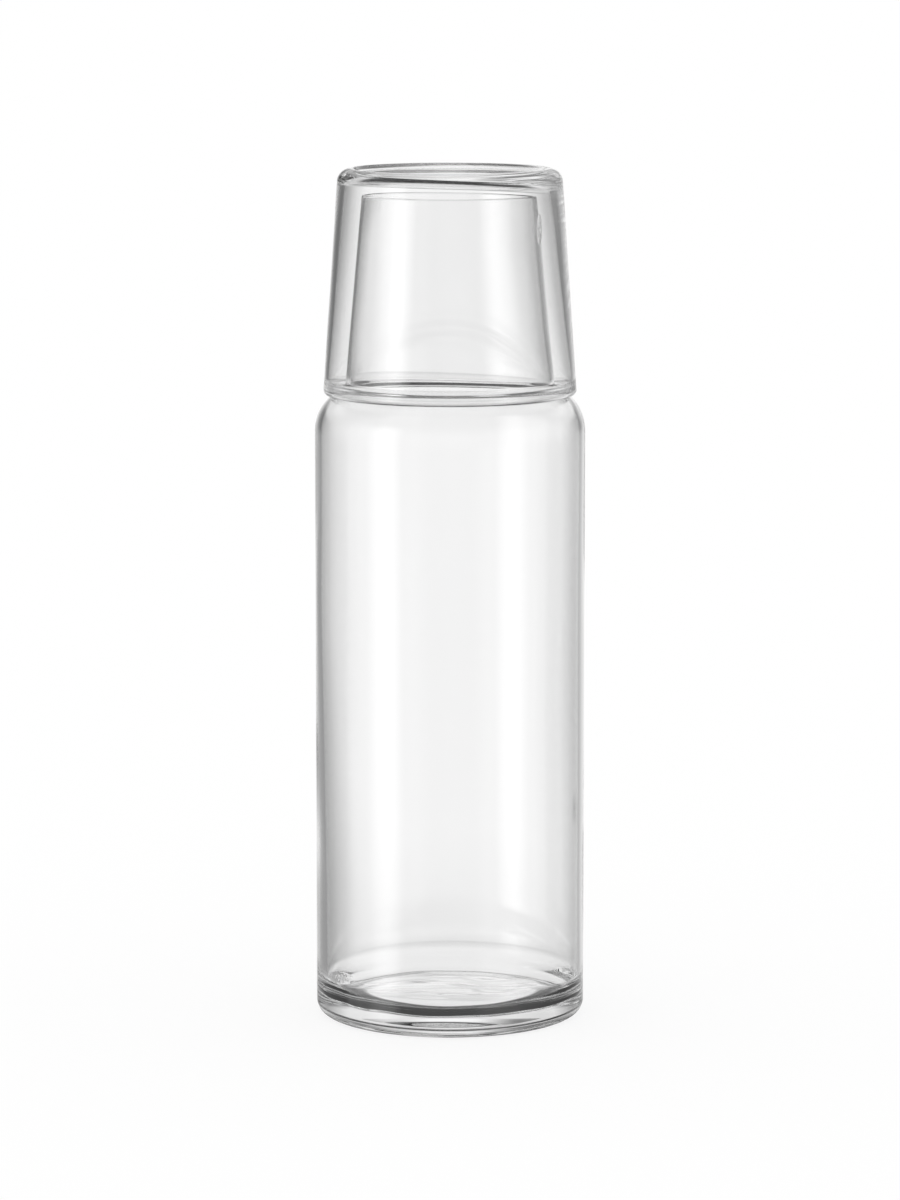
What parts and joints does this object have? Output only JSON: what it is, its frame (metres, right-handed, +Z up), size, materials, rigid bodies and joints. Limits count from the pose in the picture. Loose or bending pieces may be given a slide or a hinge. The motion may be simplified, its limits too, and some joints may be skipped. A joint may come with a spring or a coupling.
{
  "type": "bedside carafe with tumbler",
  "caption": "Clear glass bedside carafe with a straight round body and tapered neck, topped by a tapered drinking tumbler that sits upside down on the shoulder as its lid.",
  "frame": {"origin": "centre of the face that the carafe stands on", "axes": "+Z up along the axis of both glasses, +X to the right and +Y away from the picture's camera"},
  "size_m": [0.085, 0.085, 0.2685],
  "materials": {
    "carafe_glass": "clear blown soda-lime glass, fire polished",
    "tumbler_glass": "clear pressed soda-lime glass, fire polished"
  },
  "bodies": {
    "carafe": {"carafe": "carafe_glass"},
    "tumbler": {"tumbler": "tumbler_glass"}
  },
  "joints": [
    {"name": "tumbler_lift", "type": "slide", "parent": "carafe", "child": "tumbler", "axis": [0, 0, 1], "range_m": [0, 0.075]}
  ]
}
